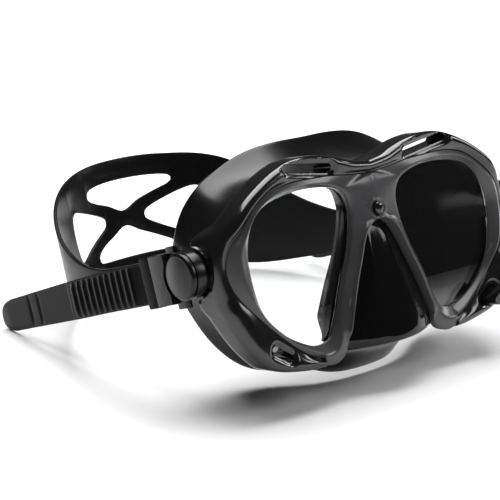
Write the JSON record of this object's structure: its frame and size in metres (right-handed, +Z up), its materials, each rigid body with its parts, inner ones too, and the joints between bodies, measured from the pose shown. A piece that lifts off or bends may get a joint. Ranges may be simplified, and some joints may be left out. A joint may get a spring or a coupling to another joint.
{
  "type": "diving mask",
  "caption": "Low-volume two-lens diving mask with a silicone skirt and nose pocket, swivelling pinch-release buckles and a lattice-backed silicone strap.",
  "frame": {"origin": "on the table under the middle of the object's box", "axes": "+Z up; the mask faces -Y and its strap lies behind it towards +Y; +X is the wearer's left"},
  "size_m": [0.1714, 0.2018, 0.0943],
  "materials": {
    "frame_gloss": "gloss black moulded polycarbonate",
    "bezel_satin": "dark grey moulded plastic, semi-gloss",
    "skirt_silicone": "black silicone, satin with polished faces",
    "strap_silicone": "black silicone, satin",
    "lens_glass": "clear tempered glass",
    "buckle_gloss": "gloss black moulded plastic",
    "buckle_satin": "satin black moulded plastic",
    "steel": "stainless steel"
  },
  "bodies": {
    "mask": {"outer_frame": "frame_gloss", "inner_bezel": "bezel_satin", "right_lens": "lens_glass", "left_lens": "lens_glass", "skirt": "skirt_silicone", "right_pivot_post": "steel", "right_pivot_clip": "steel", "left_pivot_post": "steel", "left_pivot_clip": "steel"},
    "right_buckle": {"right_buckle_housing": "buckle_gloss", "right_buckle_cap": "buckle_gloss", "right_strap_keeper": "buckle_satin", "right_roller_pin": "steel", "right_button_spring": "steel", "head_strap": "strap_silicone"},
    "right_upper_button": {"right_release_button_upper": "buckle_gloss"},
    "right_lower_button": {"right_release_button_lower": "buckle_gloss"},
    "right_pawl": {"right_lock_pawl": "steel"},
    "right_roller": {"right_strap_roller": "buckle_satin"},
    "left_buckle": {"left_buckle_housing": "buckle_gloss", "left_buckle_cap": "buckle_gloss", "left_strap_keeper": "buckle_satin", "left_roller_pin": "steel", "left_button_spring": "steel"},
    "left_upper_button": {"left_release_button_upper": "buckle_gloss"},
    "left_lower_button": {"left_release_button_lower": "buckle_gloss"},
    "left_pawl": {"left_lock_pawl": "steel"},
    "left_roller": {"left_strap_roller": "buckle_satin"}
  },
  "joints": [
    {"name": "right_buckle_swivel", "type": "hinge", "parent": "mask", "child": "right_buckle", "pos_m": [-0.075, -0.06734, 0.05534], "axis": [1, 0, 0], "range_deg": [-8, 20]},
    {"name": "right_upper_button_press", "type": "slide", "parent": "right_buckle", "child": "right_upper_button", "axis": [0, -0.3338, -0.9426], "range_m": [0, 0.0014], "stiffness_N_per_m": 600, "springref_m": -0.0015, "deforming": ["right_button_spring"]},
    {"name": "right_lower_button_press", "type": "slide", "parent": "right_buckle", "child": "right_lower_button", "axis": [0, 0.3338, 0.9426], "range_m": [0, 0.0014]},
    {"name": "right_pawl_release", "type": "slide", "parent": "right_buckle", "child": "right_pawl", "axis": [0, -0.9426, 0.3338], "range_m": [0, 0.0006]},
    {"name": "right_roller_spin", "type": "hinge", "parent": "right_buckle", "child": "right_roller", "pos_m": [-0.0791, -0.05301, 0.05026], "axis": [0, 0.3338, 0.9426], "continuous": true},
    {"name": "left_buckle_swivel", "type": "hinge", "parent": "mask", "child": "left_buckle", "pos_m": [0.075, -0.06734, 0.05534], "axis": [1, 0, 0], "range_deg": [-8, 20]},
    {"name": "left_upper_button_press", "type": "slide", "parent": "left_buckle", "child": "left_upper_button", "axis": [0, -0.3338, -0.9426], "range_m": [0, 0.0014], "stiffness_N_per_m": 600, "springref_m": -0.0015, "deforming": ["left_button_spring"]},
    {"name": "left_lower_button_press", "type": "slide", "parent": "left_buckle", "child": "left_lower_button", "axis": [0, 0.3338, 0.9426], "range_m": [0, 0.0014]},
    {"name": "left_pawl_release", "type": "slide", "parent": "left_buckle", "child": "left_pawl", "axis": [0, -0.9426, 0.3338], "range_m": [0, 0.0006]},
    {"name": "left_roller_spin", "type": "hinge", "parent": "left_buckle", "child": "left_roller", "pos_m": [0.0791, -0.05301, 0.05026], "axis": [0, 0.3338, 0.9426], "continuous": true}
  ],
  "couplings": [
    {"joint": "left_buckle_swivel", "follows": "right_buckle_swivel", "ratio": 1},
    {"joint": "right_lower_button_press", "follows": "right_upper_button_press", "ratio": 1},
    {"joint": "right_pawl_release", "follows": "right_upper_button_press", "ratio": 0.42857},
    {"joint": "left_lower_button_press", "follows": "left_upper_button_press", "ratio": 1},
    {"joint": "left_pawl_release", "follows": "left_upper_button_press", "ratio": 0.42857}
  ]
}
